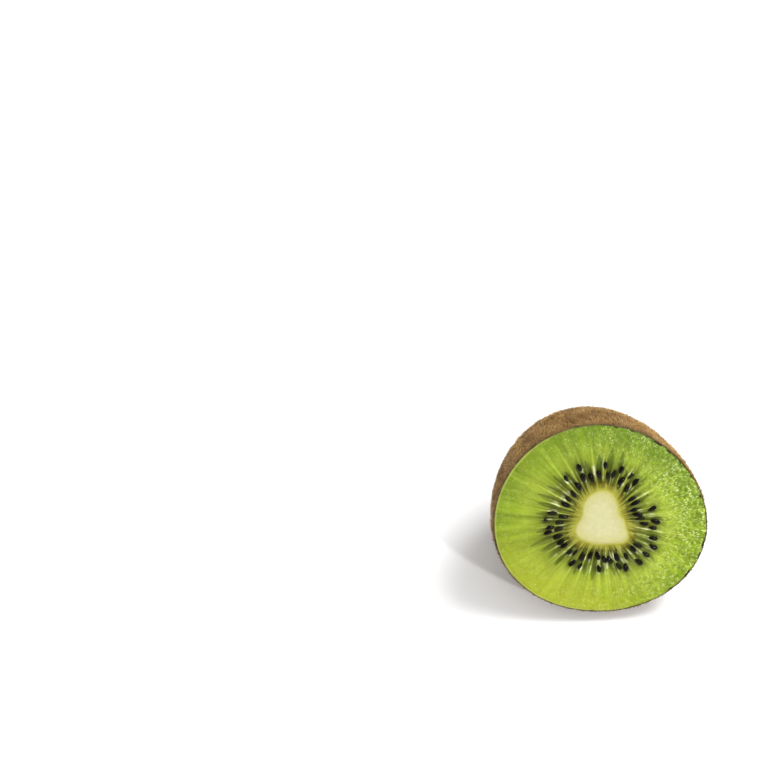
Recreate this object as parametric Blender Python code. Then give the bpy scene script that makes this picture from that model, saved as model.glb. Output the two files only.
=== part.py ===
"""Half a kiwi fruit, cut across the middle, lying on its rounded side with the cut face turned up.

Each shape is made in the frame of the cut face: X to the right, Y up the face and Z out of the cut,
with the centre of the cut at the origin. One empty then leans the face back and stands the fruit on Z = 0.
"""

import math
import random

import bmesh
import bpy
from mathutils import Matrix, Vector

MM = 0.001

# Driving dimensions of the fruit
FACE_LONG = 55.4 * MM
FACE_SHORT = 51.1 * MM
LONG_AXIS_ANGLE = math.radians(138.6)
LOBE_SHARE = 0.017
LOBE_ANGLE = math.radians(95.3)
HALF_LENGTH = 33.5 * MM
BARREL_POWER = 2.085
FACE_LEAN = math.radians(25.0)
REST_SPOT_DEPTH = 0.9 * MM

# The stalk scar in a shallow dimple at the far end
DIMPLE_DEPTH = 1.1 * MM
DIMPLE_WIDTH = 5.0 * MM
SCAR_RADIUS = 2.7 * MM
SCAR_RING_THICKNESS = 0.55 * MM
SCAR_BUTTON_RADIUS = 1.5 * MM

# The pale core, a rounded triangle that runs down the middle of the fruit
CORE_CENTRE = Vector((0.2 * MM, 0.55 * MM))
CORE_RADIUS = 6.65 * MM
CORE_WAVES = ((2, 0.15, 101.0), (3, 0.165, 88.5), (4, 0.035, 39.5))
CORE_LENGTH = 26.0 * MM
CORE_POWER = 2.6
FIT_GAP = 0.3 * MM

# The seeds, in two loose rows round the core
SEED_SLOTS = 38
SEED_DRAW = 11
SEED_LENGTH = 2.4 * MM
SEED_WIDTH = 1.35 * MM
SEED_HEIGHT = 0.95 * MM
FIRST_ROW_GAP = 4.4 * MM
ROW_SPACING = 3.0 * MM
FIRST_ROW_SHARE = 0.9
SECOND_ROW_SHARE = 0.62

# Colour, roughness and metallic value of each finish
SKIN_AND_FLESH = ((0.34, 0.50, 0.07, 1.0), 0.35, 0.0)
PALE_CORE = ((0.80, 0.77, 0.42, 1.0), 0.45, 0.0)


def clear_scene():
    for obj in list(bpy.data.objects):
        bpy.data.objects.remove(obj)


def new_collection(name):
    collection = bpy.data.collections.new(name)
    bpy.context.scene.collection.children.link(collection)
    return collection


def move_to(obj, collection):
    for old in list(obj.users_collection):
        old.objects.unlink(obj)
    collection.objects.link(obj)


def material(name, finish):
    colour, roughness, metallic = finish
    made = bpy.data.materials.new(name)
    made.use_nodes = True
    shader = made.node_tree.nodes["Principled BSDF"]
    shader.inputs["Base Color"].default_value = colour
    shader.inputs["Roughness"].default_value = roughness
    shader.inputs["Metallic"].default_value = metallic
    return made


def face_radius(angle):
    """Radius of the skin round the cut: an oval whose long diameter is tipped, faintly three-sided."""
    turn = angle - LONG_AXIS_ANGLE
    along = math.cos(turn) / (FACE_LONG / 2)
    across = math.sin(turn) / (FACE_SHORT / 2)
    lobes = 1.0 + LOBE_SHARE * math.cos(3 * (angle - LOBE_ANGLE))
    return lobes / math.hypot(along, across)


def core_radius(angle):
    """Radius of the core about its own centre: three rounded corners, one of them at the top."""
    wave = sum(size * math.cos(order * (angle - math.radians(at))) for order, size, at in CORE_WAVES)
    return CORE_RADIUS * (1.0 + wave)


def spheroid(name, outline, length, power, segments, rings):
    """A sphere reshaped so that its waist follows outline(angle) and its poles lie at +-length."""
    bpy.ops.mesh.primitive_uv_sphere_add(segments=segments, ring_count=rings, radius=1.0)
    obj = bpy.context.object
    obj.name = name
    for vertex in obj.data.vertices:
        x, y, z = vertex.co
        angle = math.atan2(y, x)
        spread = min(1.0, math.hypot(x, y)) ** (2.0 / power)
        depth = math.copysign(abs(z) ** (2.0 / power), z)
        radius = outline(angle) * spread
        vertex.co = (radius * math.cos(angle), radius * math.sin(angle), length * depth)
    return obj


def close_openings(mesh):
    """Closes each open edge loop with one flat face and leaves all faces pointing out."""
    open_edges = [edge for edge in mesh.edges if edge.is_boundary]
    bmesh.ops.holes_fill(mesh, edges=open_edges)
    bmesh.ops.recalc_face_normals(mesh, faces=mesh.faces)


def cut_across(obj):
    """Keeps the half of a spheroid that lies below the cut and closes it there."""
    tolerance = 0.001 * MM
    mesh = bmesh.new()
    mesh.from_mesh(obj.data)
    bmesh.ops.delete(mesh, geom=[v for v in mesh.verts if v.co.z > tolerance], context="VERTS")
    close_openings(mesh)
    mesh.to_mesh(obj.data)
    mesh.free()


def press_dimple(obj):
    """Sinks the far end round the stalk scar."""
    for vertex in obj.data.vertices:
        off_axis = math.hypot(vertex.co.x, vertex.co.y)
        if vertex.co.z < 0.0:
            vertex.co.z += DIMPLE_DEPTH * math.exp(-((off_axis / DIMPLE_WIDTH) ** 2))


def flatten_rest_spot(obj, down):
    """Cuts the small flat spot that the fruit lies on, square to down."""
    lowest = max(vertex.co.dot(down) for vertex in obj.data.vertices)
    mesh = bmesh.new()
    mesh.from_mesh(obj.data)
    bmesh.ops.bisect_plane(
        mesh,
        geom=mesh.verts[:] + mesh.edges[:] + mesh.faces[:],
        plane_co=down * (lowest - REST_SPOT_DEPTH),
        plane_no=down,
        clear_outer=True,
    )
    close_openings(mesh)
    mesh.to_mesh(obj.data)
    mesh.free()


def boolean(obj, operation, operand):
    """Applies one Boolean, with an object or a whole collection as the other side."""
    modifier = obj.modifiers.new(operation.lower(), "BOOLEAN")
    modifier.operation = operation
    modifier.solver = "EXACT"
    if isinstance(operand, bpy.types.Collection):
        modifier.operand_type = "COLLECTION"
        modifier.collection = operand
    else:
        modifier.object = operand
    bpy.context.view_layer.objects.active = obj
    bpy.ops.object.modifier_apply(modifier=modifier.name)


def core_shape(name, allowance):
    """The core as a whole spheroid, larger by allowance all round."""
    obj = spheroid(
        name, lambda angle: core_radius(angle) + allowance, CORE_LENGTH + allowance, CORE_POWER, 48, 24
    )
    obj.data.transform(Matrix.Translation((CORE_CENTRE.x, CORE_CENTRE.y, 0.0)))
    return obj


def seed_places():
    """Centre, direction and size factor of each seed in the cut, slot by slot round the core."""
    draw = random.Random(SEED_DRAW)
    step = 2.0 * math.pi / SEED_SLOTS
    places = []
    for slot in range(SEED_SLOTS):
        for row, share in enumerate((FIRST_ROW_SHARE, SECOND_ROW_SHARE)):
            angle = step * (slot + 0.5 * row + draw.uniform(-0.26, 0.26))
            radius = core_radius(angle) + FIRST_ROW_GAP + row * ROW_SPACING
            radius += draw.uniform(-0.7, 0.7) * MM
            tilt = math.radians(draw.uniform(-18.0, 18.0))
            size = draw.uniform(0.84, 1.12)
            if draw.random() < share:
                centre = CORE_CENTRE + radius * Vector((math.cos(angle), math.sin(angle)))
                places.append((centre, angle + tilt, size))
    return places


def add_seed(centre, direction, size, collection):
    """One seed, a flat pointed oval half sunk in the flesh."""
    bpy.ops.mesh.primitive_uv_sphere_add(segments=8, ring_count=4, radius=0.5)
    seed = bpy.context.object
    seed.data.transform(Matrix.Diagonal((SEED_LENGTH * size, SEED_WIDTH * size, SEED_HEIGHT * size, 1.0)))
    seed.location = (centre.x, centre.y, 0.0)
    seed.rotation_euler = (0.0, 0.0, direction)
    move_to(seed, collection)


def add_scar(collection):
    """The stalk scar: a raised ring with a button inside, seated in the dimple."""
    seat = Vector((0.0, 0.0, -(HALF_LENGTH - DIMPLE_DEPTH)))
    bpy.ops.mesh.primitive_torus_add(
        major_radius=SCAR_RADIUS,
        minor_radius=SCAR_RING_THICKNESS,
        major_segments=24,
        minor_segments=8,
        location=seat,
    )
    move_to(bpy.context.object, collection)
    bpy.ops.mesh.primitive_uv_sphere_add(segments=14, ring_count=8, radius=SCAR_BUTTON_RADIUS)
    button = bpy.context.object
    button.data.transform(Matrix.Diagonal((1.0, 1.0, 0.55, 1.0)))
    button.location = seat
    move_to(button, collection)


def make_flesh(parts, cutters, fused, down):
    """Skin and flesh in one solid, with the scar and the seeds fused on and the socket of the core cut in."""
    flesh = spheroid("kiwi_flesh", face_radius, HALF_LENGTH, BARREL_POWER, 72, 44)
    cut_across(flesh)
    press_dimple(flesh)
    flatten_rest_spot(flesh, down)
    move_to(flesh, parts)

    add_scar(fused)
    for centre, direction, size in seed_places():
        add_seed(centre, direction, size, fused)
    bpy.context.view_layer.update()
    boolean(flesh, "UNION", fused)
    for obj in list(fused.objects):
        bpy.data.objects.remove(obj)

    socket = core_shape("core_socket", FIT_GAP)
    socket.display_type = "WIRE"
    socket.hide_render = True
    move_to(socket, cutters)
    boolean(flesh, "DIFFERENCE", socket)
    flesh.data.materials.clear()
    flesh.data.materials.append(material("skin_and_flesh", SKIN_AND_FLESH))
    return flesh


def make_core(parts):
    """The pale core, a piece of its own from the cut almost to the far end."""
    core = core_shape("kiwi_core", 0.0)
    cut_across(core)
    move_to(core, parts)
    core.data.materials.append(material("pale_core", PALE_CORE))
    return core


def stand_on_floor(pieces):
    """Leans the face back with one empty, and centres the fruit's box over the origin on Z = 0."""
    bpy.ops.object.empty_add(type="ARROWS")
    rest = bpy.context.object
    rest.name = "fruit_at_rest"
    rest.rotation_euler = (math.pi / 2 - FACE_LEAN, 0.0, 0.0)
    turn = rest.rotation_euler.to_matrix()
    corners = [turn @ vertex.co for piece in pieces for vertex in piece.data.vertices]
    low = Vector(min(point[axis] for point in corners) for axis in range(3))
    high = Vector(max(point[axis] for point in corners) for axis in range(3))
    rest.location = (-(low.x + high.x) / 2, -(low.y + high.y) / 2, -low.z)
    for piece in pieces:
        piece.parent = rest


def shade(pieces):
    for piece in pieces:
        piece.data.shade_smooth()
        piece.data.set_sharp_from_angle(angle=math.radians(35.0))


def main():
    clear_scene()
    parts = new_collection("kiwi_half")
    cutters = new_collection("cutters")
    fused = new_collection("fused_details")
    face_to_world = Matrix.Rotation(math.pi / 2 - FACE_LEAN, 3, "X")
    down = face_to_world.inverted() @ Vector((0.0, 0.0, -1.0))

    flesh = make_flesh(parts, cutters, fused, down)
    core = make_core(parts)
    shade([flesh, core])
    stand_on_floor([flesh, core])
    bpy.data.collections.remove(fused)


main()
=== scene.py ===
# %% [markdown]
# Half a kiwi fruit, step by step.
# The real object is one fruit cut across the middle, lying on its rounded side with the wet cut turned up.
# It could be sculpted by hand, but nearly everything in a kiwi is laid out round one axis. So each body here
# is built from rings of points round that axis, which keeps every measure in plain view.

# %% Load the fixed frame
import math
import random

import bpy
import numpy as np
from mathutils import Matrix, Vector, noise


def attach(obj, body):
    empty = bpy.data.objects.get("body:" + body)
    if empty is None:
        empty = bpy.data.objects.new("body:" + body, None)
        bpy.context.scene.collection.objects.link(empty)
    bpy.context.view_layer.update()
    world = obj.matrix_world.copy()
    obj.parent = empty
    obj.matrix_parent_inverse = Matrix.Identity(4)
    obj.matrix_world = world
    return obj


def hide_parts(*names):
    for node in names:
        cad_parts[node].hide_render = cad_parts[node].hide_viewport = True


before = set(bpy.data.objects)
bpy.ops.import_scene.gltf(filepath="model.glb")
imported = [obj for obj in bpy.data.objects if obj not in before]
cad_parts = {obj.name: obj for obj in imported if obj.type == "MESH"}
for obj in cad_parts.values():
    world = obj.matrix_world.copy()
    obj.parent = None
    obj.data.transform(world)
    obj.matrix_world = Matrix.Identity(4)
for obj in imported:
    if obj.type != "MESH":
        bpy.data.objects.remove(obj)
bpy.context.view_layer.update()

MM = 0.001

# %% [markdown]
# The shapes are easiest to think about in the frame of the cut face: X to the right, Y up the face and Z
# out of the cut. The fruit then leans back by 25 degrees. An empty could carry that turn, but turned points
# are simpler to check. The CAD core shows where the frame lies, because its far tip is on the core's own
# axis, 26 mm behind the cut.

# %% Find the frame of the cut face
FACE_LEAN = math.radians(25.0)
CORE_CENTRE = np.array((0.2, 0.55)) * MM
CORE_LENGTH = 26.0 * MM

lean = np.array(Matrix.Rotation(math.pi / 2 - FACE_LEAN, 3, "X"))
core_points = np.array([vertex.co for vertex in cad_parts["kiwi_core"].data.vertices])
core_tip = core_points[(core_points @ lean)[:, 2].argmin()]
cut_origin = core_tip - lean @ np.array((*CORE_CENTRE, -CORE_LENGTH))


def to_world(points):
    """Takes points from the frame of the cut face to the frame of the CAD."""
    return np.asarray(points) @ lean.T + cut_origin


print("Middle of the cut in mm:", [round(value / MM, 2) for value in cut_origin])

# %% [markdown]
# A kiwi is not a true ball. Its cut is an oval with a long diameter tipped to the upper left and a faint
# three-sided swell, and along its axis it is slightly barrel shaped. A sphere scaled by hand would come
# close, but the few numbers that made the CAD solid also make the visible skin here, so the two agree to a
# fraction of a millimetre.

# %% Measure the outside
FACE_LONG = 55.4 * MM
FACE_SHORT = 51.1 * MM
LONG_AXIS_ANGLE = math.radians(138.6)
LOBE_SHARE = 0.017
LOBE_ANGLE = math.radians(95.3)
HALF_LENGTH = 33.5 * MM
BARREL_POWER = 2.085
DIMPLE_DEPTH = 1.1 * MM
DIMPLE_WIDTH = 5.0 * MM
QUARTER_TURN = math.pi / 2


def face_radius(angle):
    """Radius of the fruit round the cut."""
    turn = angle - LONG_AXIS_ANGLE
    lobes = 1.0 + LOBE_SHARE * np.cos(3 * (angle - LOBE_ANGLE))
    return lobes / np.hypot(np.cos(turn) / (FACE_LONG / 2), np.sin(turn) / (FACE_SHORT / 2))


def dimple(radius):
    """How far the far end is sunk at a distance from the axis."""
    return DIMPLE_DEPTH * np.exp(-((radius / DIMPLE_WIDTH) ** 2))


def body_point(angle, dip, inset):
    """A point of the fruit's outside: dip runs from 0 at the cut to a quarter turn at the far end."""
    spread = np.cos(dip) ** (2.0 / BARREL_POWER)
    depth = np.sin(dip) ** (2.0 / BARREL_POWER)
    radius = (face_radius(angle) - inset) * spread
    height = dimple(radius) - (HALF_LENGTH - inset) * depth
    return np.stack([radius * np.cos(angle), radius * np.sin(angle), height], axis=-1)


def far_end(inset):
    """The point where the axis leaves the fruit behind the cut."""
    return body_point(0.0, QUARTER_TURN, inset)


print("Far end behind the cut in mm:", round(far_end(0.0)[2] / MM, 1))

# %% [markdown]
# The core is paler and firmer than the flesh. Cut across it is a rounded triangle with one corner at the
# top. Its outline could be a drawn curve, but three waves added to a circle give it with a few numbers.

# %% Measure the core
CORE_RADIUS = 6.65 * MM
# Number of waves round the core, height as a share of the radius, and angle of a crest in degrees.
CORE_WAVES = ((2, 0.15, 101.0), (3, 0.165, 88.5), (4, 0.035, 39.5))


def core_radius(angle):
    """Radius of the core about its own centre."""
    wave = sum(size * np.cos(order * (angle - math.radians(at))) for order, size, at in CORE_WAVES)
    return CORE_RADIUS * (1.0 + wave)


print("Core above and below its centre in mm:",
      [round(core_radius(angle) / MM, 1) for angle in (QUARTER_TURN, -QUARTER_TURN)])

# %% [markdown]
# Every body here ends as a mesh: a list of points, a list of faces and some numbers kept on the points. The
# mesh operators of Edit Mode could build it step by step, but from_pydata takes whole lists at once, which
# is quick for 180,000 triangles.

# %% Turn points into a mesh


def mesh_piece(name, points, faces, tags=None):
    """A smooth mesh object in the CAD frame, with its number tags kept on the points."""
    mesh = bpy.data.meshes.new(name)
    mesh.from_pydata(np.asarray(points).tolist(), [], faces)
    mesh.update()
    mesh.shade_smooth()
    for tag, values in (tags or {}).items():
        values = np.ascontiguousarray(values, dtype=np.float32)
        kind, field = ("FLOAT_VECTOR", "vector") if values.ndim == 2 else ("FLOAT", "value")
        mesh.attributes.new(tag, kind, "POINT").data.foreach_set(field, values.ravel())
    piece = bpy.data.objects.new(name, mesh)
    bpy.context.scene.collection.objects.link(piece)
    triangles = sum(len(face.vertices) - 2 for face in mesh.polygons)
    print(f"{name}: {len(mesh.vertices)} points, {triangles} triangles")
    return piece


# %% [markdown]
# One builder serves the core, the flesh, the skin and the stalk scar. It takes a start point, a run of rings
# and an end point, and joins them into one closed surface, as a potter stacks coils. Blender's Spin tool
# could do this for a round shape, but these rings are all a little out of round.

# %% Build closed bodies from rings


def ring_faces(ring_count, columns):
    """Faces of a closed body: point 0 is the start, then ring after ring, and the last point is the end."""
    faces = []
    last = 1 + ring_count * columns
    for column in range(columns):
        beside = (column + 1) % columns
        faces.append((0, 1 + column, 1 + beside))
        faces.append((last - columns + column, last, last - columns + beside))
    for ring in range(ring_count - 1):
        near = 1 + ring * columns
        far = near + columns
        for column in range(columns):
            beside = (column + 1) % columns
            faces.append((near + column, far + column, far + beside, near + beside))
    return faces


def ring_body(name, start, rings, end, tags=None, lowest=0.0):
    """Joins rings of points into one closed mesh, and presses what would be below lowest flat on it."""
    rings = np.asarray(rings)
    world = to_world(np.concatenate([[start], rings.reshape(-1, 3), [end]]))
    world[:, 2] = np.maximum(world[:, 2], lowest)
    return mesh_piece(name, world, ring_faces(rings.shape[0], rings.shape[1]), tags)


print("Faces of a body with two rings of three points:", len(ring_faces(2, 3)))

# %% [markdown]
# Fruit is never smooth like plastic: each surface has waves, dents and beads of several sizes. A Displace
# modifier with a texture could raise them, but adding noise to the points in code keeps every height and
# size in millimetres where it is used. Each layer reads its own part of the noise, which its draw picks.

# %% Helpers for roughness and for angles


def rough(points, size, draw):
    """Smooth noise from about -1 to 1 whose bumps are about size apart."""
    scaled = np.asarray(points) / size + draw
    values = np.array([noise.noise(Vector(point)) for point in scaled.reshape(-1, 3)])
    return values.reshape(scaled.shape[:-1])


def bumps(points, *layers):
    """Sum of layers of roughness, each with its height in mm, the size of its bumps in mm and its draw."""
    return sum(height * MM * rough(points, size * MM, draw) for height, size, draw in layers)


def full_turn(count):
    """Angles of count points spaced evenly round a full turn."""
    return np.arange(count) * 2.0 * math.pi / count


def unit(vectors):
    """The same directions with length one."""
    return vectors / np.linalg.norm(vectors, axis=1, keepdims=True)


print("Angles of a ring of four in degrees:", np.degrees(full_turn(4)).tolist())

# %% [markdown]
# The seeds lie in two loose rows round the core. They could be scattered by a particle system, but they have
# to sit where the bumps on the CAD solid are, so the same seeded draw places them. They come before the
# flesh, because the flesh darkens and sinks a little round each of them.

# %% Place the seeds
SEED_SLOTS = 38
SLOT_TURN = 2.0 * math.pi / SEED_SLOTS
SEED_DRAW = 11
FIRST_ROW_GAP = 4.4 * MM
ROW_SPACING = 3.0 * MM
ROW_SHARES = (0.9, 0.62)
SLOT_SCATTER = 0.26
RADIUS_SCATTER = 0.7
TILT_SCATTER = 18.0
SEED_SIZES = (0.84, 1.12)


def seed_places():
    """Centre, direction and size factor of each seed in the cut, slot by slot round the core."""
    draw = random.Random(SEED_DRAW)
    places = []
    for slot in range(SEED_SLOTS):
        for row, share in enumerate(ROW_SHARES):
            angle = SLOT_TURN * (slot + 0.5 * row + draw.uniform(-SLOT_SCATTER, SLOT_SCATTER))
            radius = core_radius(angle) + FIRST_ROW_GAP + row * ROW_SPACING
            radius += draw.uniform(-RADIUS_SCATTER, RADIUS_SCATTER) * MM
            tilt = math.radians(draw.uniform(-TILT_SCATTER, TILT_SCATTER))
            size = draw.uniform(*SEED_SIZES)
            if draw.random() < share:
                centre = CORE_CENTRE + radius * np.array((math.cos(angle), math.sin(angle)))
                places.append((centre, angle + tilt, size))
    return places


seeds = seed_places()
print("Seeds in the cut:", len(seeds))

# %% [markdown]
# The cut face is one grid of points: 640 spokes from the middle of the core to the skin. A flat disc with a
# fine remesh would also do, but spokes run the way the fruit grew, so fibres and rays come out clean. The
# grid follows the core's edge exactly, so the core and the flesh can be two pieces that meet without a gap.

# %% Lay out the grid of the cut
SPOKES = 640
CORE_RINGS = 24
FLESH_RINGS = 124
SKIN_THICKNESS = 0.22 * MM
REACH_ROUNDS = 12

spoke_angle = full_turn(SPOKES)
spoke = np.stack([np.cos(spoke_angle), np.sin(spoke_angle)], axis=-1)
core_edge = core_radius(spoke_angle)
# The spokes start at the core's centre and not the fruit's, so their length is found in a few rounds.
reach = np.full(SPOKES, FACE_SHORT / 2)
for _ in range(REACH_ROUNDS):
    tip = CORE_CENTRE + reach[:, None] * spoke
    reach *= (face_radius(np.arctan2(tip[:, 1], tip[:, 0])) - SKIN_THICKNESS) / np.hypot(*tip.T)

core_levels = np.linspace(0.0, 1.0, CORE_RINGS + 1)[1:]
flesh_levels = np.linspace(0.0, 1.0, FLESH_RINGS + 1)[1:]
core_grid = core_levels[:, None] * core_edge
flesh_grid = core_edge + flesh_levels[:, None] * (reach - core_edge)
grid_radius = np.concatenate([core_grid, flesh_grid])
grid_xy = CORE_CENTRE + grid_radius[..., None] * spoke
from_core = grid_radius - core_edge
shortest, longest = ((reach - core_edge).min() / MM, (reach - core_edge).max() / MM)
print("Spoke length from core to skin in mm:", round(shortest, 1), "to", round(longest, 1))

# %% [markdown]
# Colour in a kiwi depends first of all on how far out a point lies. That could be painted by hand, but one
# number for each point is easier to steer: 0 at the middle of the core, 0.5 at the edge of its cream colour
# and 1 at the skin. The cream colour waves a little about the core's edge and runs past it in three places,
# which gives the core its blunt foot and its sharp corner.

# %% Number the grid from the core outward
CREAM_RIPPLE = 0.02
CREAM_RIPPLES = 6.0
CREAM_RIPPLE_ANGLE = math.radians(18.0)
# Where the cream runs past the core's edge: angle and half width in degrees, and share of the radius.
CREAM_SWELLS = ((318.0, 12.0, 0.10), (268.0, 18.0, 0.085), (357.0, 10.0, 0.06))

cream_edge = core_edge * (1.0 + CREAM_RIPPLE * np.cos(CREAM_RIPPLES * (spoke_angle - CREAM_RIPPLE_ANGLE)))
for at, width, swell in CREAM_SWELLS:
    turn = (np.degrees(spoke_angle) - at + 180.0) % 360.0 - 180.0
    cream_edge += swell * core_edge * np.exp(-((turn / width) ** 2))
outward = np.where(grid_radius < cream_edge, 0.5 * grid_radius / cream_edge,
                   0.5 + 0.5 * (grid_radius - cream_edge) / (reach - cream_edge))
print("Cream past the core's edge in mm, at most:", round((cream_edge - core_edge).max() / MM, 2))

# %% [markdown]
# Round the core a kiwi has a ring of narrow chambers full of clear jelly, one or two seeds in each, with
# pale walls between them. Cut across, the chambers show as dark green tongues that point outward and the
# walls as pale rays. A wave texture could hint at them, but then the relief wouldn't know where they are. So
# each is drawn on the grid as a number from 0 to 1, for the relief and for the colour alike.

# %% Draw the jelly tongues and the pale rays
shape_draw = random.Random(5)


def wedge(at, begin, finish, width, sharpness, widest):
    """A long wedge along one spoke, with the share of its length where it is widest, and pointed ends."""
    aside = np.abs(grid_radius * np.sin(spoke_angle - at))
    facing = np.cos(spoke_angle - at) > 0.0
    along = np.clip((from_core - begin) / (finish - begin), 0.0, 1.0)
    swell = np.where(along < widest, np.sqrt(along / widest), ((1.0 - along) / (1.0 - widest)) ** 0.6)
    inside = facing * (along > 0.0) * (along < 1.0)
    return inside * np.exp(-((aside / (width * swell + 1e-6)) ** sharpness))


tongue = np.zeros_like(grid_radius)
ray = np.zeros_like(grid_radius)
for slot in range(SEED_SLOTS):
    middle = SLOT_TURN * (slot + shape_draw.uniform(-0.15, 0.15))
    # The tongues reach 1 mm further out on the left, and 1 mm less on the right.
    finish = (shape_draw.uniform(7.5, 12.0) - math.cos(middle)) * MM
    shape = wedge(middle, begin=1.8 * MM, finish=finish, width=0.92 * MM, sharpness=5.0, widest=0.6)
    tongue = np.maximum(tongue, shape_draw.uniform(0.55, 1.0) * shape)
    # A strong wall halfway to the next slot, and a weaker one between.
    for beside, strongest in ((0.5, 1.0), (0.22, 0.5)):
        edge = SLOT_TURN * (slot + beside + shape_draw.uniform(-0.1, 0.1))
        finish = shape_draw.uniform(8.0, 18.0) * MM
        width = shape_draw.uniform(0.16, 0.34) * MM
        shape = wedge(edge, begin=2.4 * MM, finish=finish, width=width, sharpness=2.0, widest=0.35)
        ray = np.maximum(ray, strongest * shape_draw.uniform(0.3, 1.0) * shape)
print("Share of the cut under jelly tongues:", round(float((tongue > 0.3).mean()), 3))

# %% [markdown]
# A seed pulls the jelly down round itself and throws a dark green shade into it. Ambient occlusion could
# darken that spot in one render, but it is lost when the model is exported, so it becomes a number as well.

# %% Mark the jelly round each seed
HALO_LENGTH = 2.0 * MM
HALO_WIDTH = 1.35 * MM
HALO_SHARPNESS = 2.4

near_seed = np.zeros_like(grid_radius)
for centre, direction, size in seeds:
    along = np.array((math.cos(direction), math.sin(direction)))
    across = np.array((-along[1], along[0]))
    offset = grid_xy - centre
    distance = np.hypot(offset @ along / (HALO_LENGTH * size), offset @ across / (HALO_WIDTH * size))
    near_seed = np.maximum(near_seed, np.exp(-(distance**HALO_SHARPNESS)))
print("Share of the cut close to a seed:", round(float((near_seed > 0.3).mean()), 3))

# %% [markdown]
# A knife leaves the flesh almost flat but not quite. The firm core stands a little proud, the pulp stands up
# in small wet beads, more so on the right where the cut tore it, the jelly sinks, and the last millimetre
# rolls down to the skin. A bump in the material alone would vanish when seen from the side, so these shapes
# are moved points.

# %% Shape the surface of the cut
TORN_SIDE = math.radians(8.0)
CALM_PULP = 0.18
BLEND_WIDTH = 2.0 * MM
CORE_STEP_WIDTH = 0.6 * MM
ROLL_WIDTH = 1.1 * MM

face_points = np.concatenate([grid_xy, np.zeros_like(grid_xy[..., :1])], axis=-1)
toward_right = np.clip(0.5 + 0.5 * np.cos(spoke_angle - TORN_SIDE), 0.0, 1.0)
outside_core = np.clip(from_core / BLEND_WIDTH, 0.0, 1.0)
past_seeds = np.clip((outward - 0.66) / 0.2, 0.0, 1.0)
pulp = outside_core * (CALM_PULP + (1.0 - CALM_PULP) * toward_right**2.2) * past_seeds
proud_core = (1.0 - outside_core) * np.clip(1.0 - from_core / CORE_STEP_WIDTH, 0.0, 1.0)
rim_roll = np.clip(1.0 - (reach - grid_radius) / ROLL_WIDTH, 0.0, 1.0)

relief = bumps(face_points, (0.22, 9.0, 3.0))
relief += outside_core * bumps(face_points, (0.10, 2.6, 8.0))
relief += pulp * bumps(face_points, (0.26, 0.85, 14.0), (0.08, 0.45, 21.0))
relief += np.maximum(tongue, near_seed) * bumps(face_points, (0.12, 0.9, 33.0))
relief += MM * (0.12 * ray - 0.2 * tongue - 0.12 * near_seed + 0.12 * proud_core - 0.2 * rim_roll**2)
face_points[..., 2] = relief
print("Relief of the cut in mm:", round(relief.min() / MM, 2), "to", round(relief.max() / MM, 2))

# %% [markdown]
# The numbers on the grid have to reach the materials. They could be baked into an image, but a mesh can keep
# a number on each point, called an attribute, and a material can read it. One more attribute, around, holds
# the direction of the spoke, so that patterns can run round the core.

# %% Collect the numbers that colour the cut
WALL_DIPS = np.radians(np.linspace(6.0, 84.0, 9))


def face_tags(first, last, walls_before, walls_after):
    """Tags of some rings of the cut. The hidden walls carry on the value at the edge they hang from."""
    around = np.concatenate([np.broadcast_to(spoke, grid_xy.shape), outward[..., None]], axis=-1)
    tags = {"outward": outward, "tongue": tongue, "ray": ray, "near_seed": near_seed, "pulp": pulp,
            "around": around}
    made = {}
    for tag, values in tags.items():
        part = values[first:last]
        rows = np.concatenate([part[:1]] * walls_before + [part] + [part[-1:]] * walls_after)
        flat = rows.reshape((-1,) + values.shape[2:])
        start = flat[:1] if walls_before else 0.0 * flat[:1]
        made[tag] = np.concatenate([start, flat, flat[-1:]])
    return made


print("Rings in the hidden walls:", len(WALL_DIPS))

# %% [markdown]
# Now the first body behind the cut. The core is a cone of pale tissue that runs down the fruit. A flat face
# would look the same from the front, but a closed body is true from every side and can be lifted out. The
# wall that no one sees is kept coarse in depth.

# %% Make the core
CORE_POWER = 2.6


def core_wall(allowance):
    """Rings of the core's wall below the cut, from the cut down."""
    spread = np.cos(WALL_DIPS)[:, None] ** (2.0 / CORE_POWER)
    depth = np.sin(WALL_DIPS)[:, None] ** (2.0 / CORE_POWER)
    radius = (core_edge + allowance) * spread
    xy = CORE_CENTRE + radius[..., None] * spoke
    z = np.broadcast_to(-(CORE_LENGTH + allowance) * depth, radius.shape)
    return np.concatenate([xy, z[..., None]], axis=-1)


core_start = np.array((*CORE_CENTRE, face_points[0, :, 2].mean()))
core_end = np.array((*CORE_CENTRE, -CORE_LENGTH))
core_rings = np.concatenate([face_points[:CORE_RINGS], core_wall(0.0)])
core = ring_body("core", core_start, core_rings, core_end, face_tags(0, CORE_RINGS, 0, len(WALL_DIPS)))

# %% [markdown]
# The flesh is a thick cup with a socket for the core. It could be cut from a solid with a Boolean, but its
# rings run on from the bottom of the socket, up its wall, over the cut and down under the skin, so the cut
# keeps its even grid of points.

# %% Make the flesh
UNDER_SKIN = 0.4 * MM
SOCKET_GAP = 0.15 * MM

seam = CORE_RINGS - 1
rim_angle = np.arctan2(grid_xy[-1, :, 1], grid_xy[-1, :, 0])
outer_wall = np.array([body_point(rim_angle, dip, SKIN_THICKNESS + UNDER_SKIN) for dip in WALL_DIPS])
flesh_rings = np.concatenate([core_wall(SOCKET_GAP)[::-1], face_points[seam:], outer_wall])
flesh_start = np.array((*CORE_CENTRE, -CORE_LENGTH - SOCKET_GAP))
flesh = ring_body("flesh", flesh_start, flesh_rings, far_end(SKIN_THICKNESS + UNDER_SKIN),
                  face_tags(seam, None, len(WALL_DIPS), len(WALL_DIPS)), lowest=UNDER_SKIN)

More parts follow.
